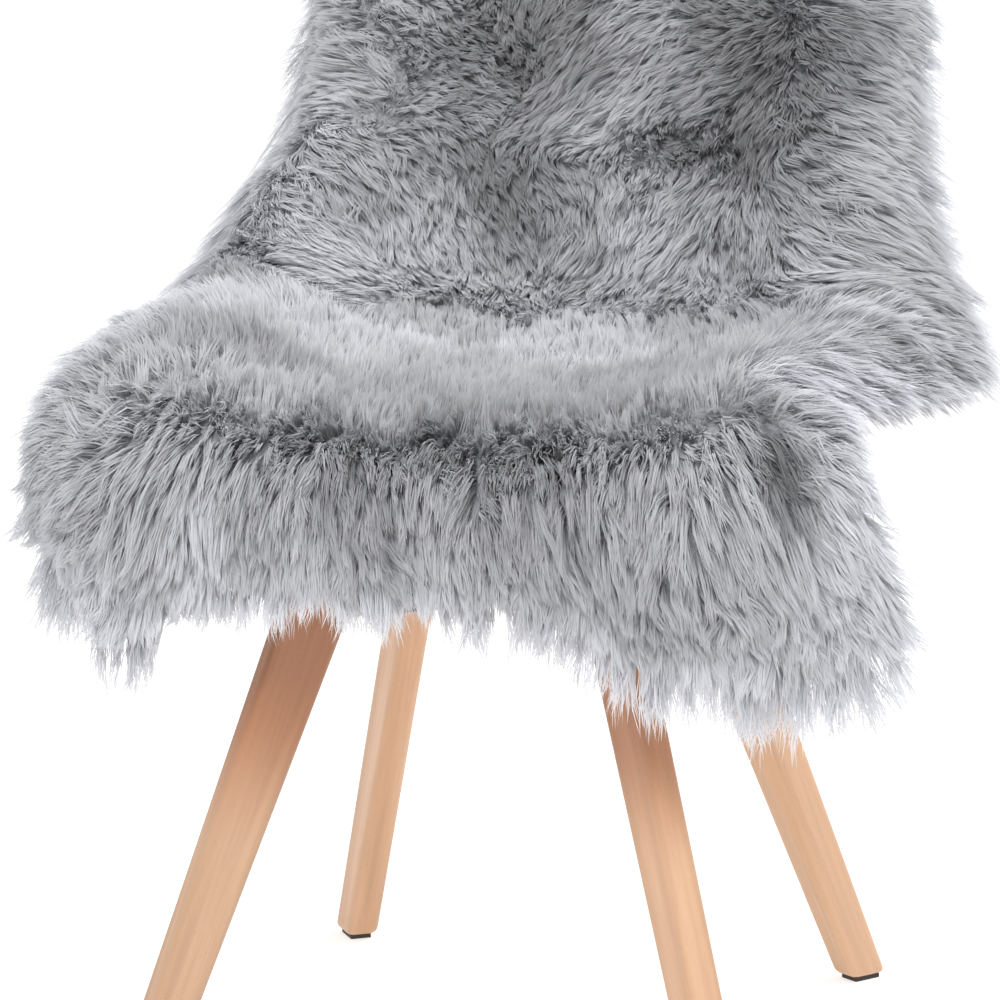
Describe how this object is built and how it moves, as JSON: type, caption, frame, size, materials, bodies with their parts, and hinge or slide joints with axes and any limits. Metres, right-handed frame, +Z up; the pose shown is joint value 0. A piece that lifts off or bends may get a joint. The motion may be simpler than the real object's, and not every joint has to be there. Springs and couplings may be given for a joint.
{
  "type": "sheepskin rug on a chair",
  "caption": "Long-haired grey sheepskin rug draped over the seat and back of a moulded shell chair with splayed wooden legs.",
  "frame": {"origin": "on the floor under the middle of the whole part's box", "axes": "+Z up, the chair faces -Y, +X to the right of someone who looks at its front"},
  "size_m": [0.7063, 0.6148, 0.8401],
  "materials": {
    "wool": "long dyed wool, matt, dark at the roots and pale at the tips",
    "shell": "moulded, satin",
    "underframe": "dark powder coat",
    "beech": "clear matt lacquer on straight-grained beech",
    "glide": "dark moulded foot pad"
  },
  "bodies": {
    "root": {"sheepskin": "wool", "locks_front_left": "wool", "locks_front_middle": "wool", "locks_front_right": "wool", "locks_neck": "wool", "locks_drop_left": "wool", "locks_seat_left": "wool", "locks_crease_left": "wool", "locks_back_left": "wool", "locks_top_left": "wool", "locks_drop_right": "wool", "locks_seat_right": "wool", "locks_crease_right": "wool", "locks_back_right": "wool", "locks_top_right": "wool", "seat_shell": "shell", "underframe": "underframe", "leg_front_left": "beech", "leg_front_right": "beech", "leg_back_left": "beech", "leg_back_right": "beech", "glide_front_left": "glide", "glide_front_right": "glide", "glide_back_left": "glide", "glide_back_right": "glide"}
  },
  "joints": []
}
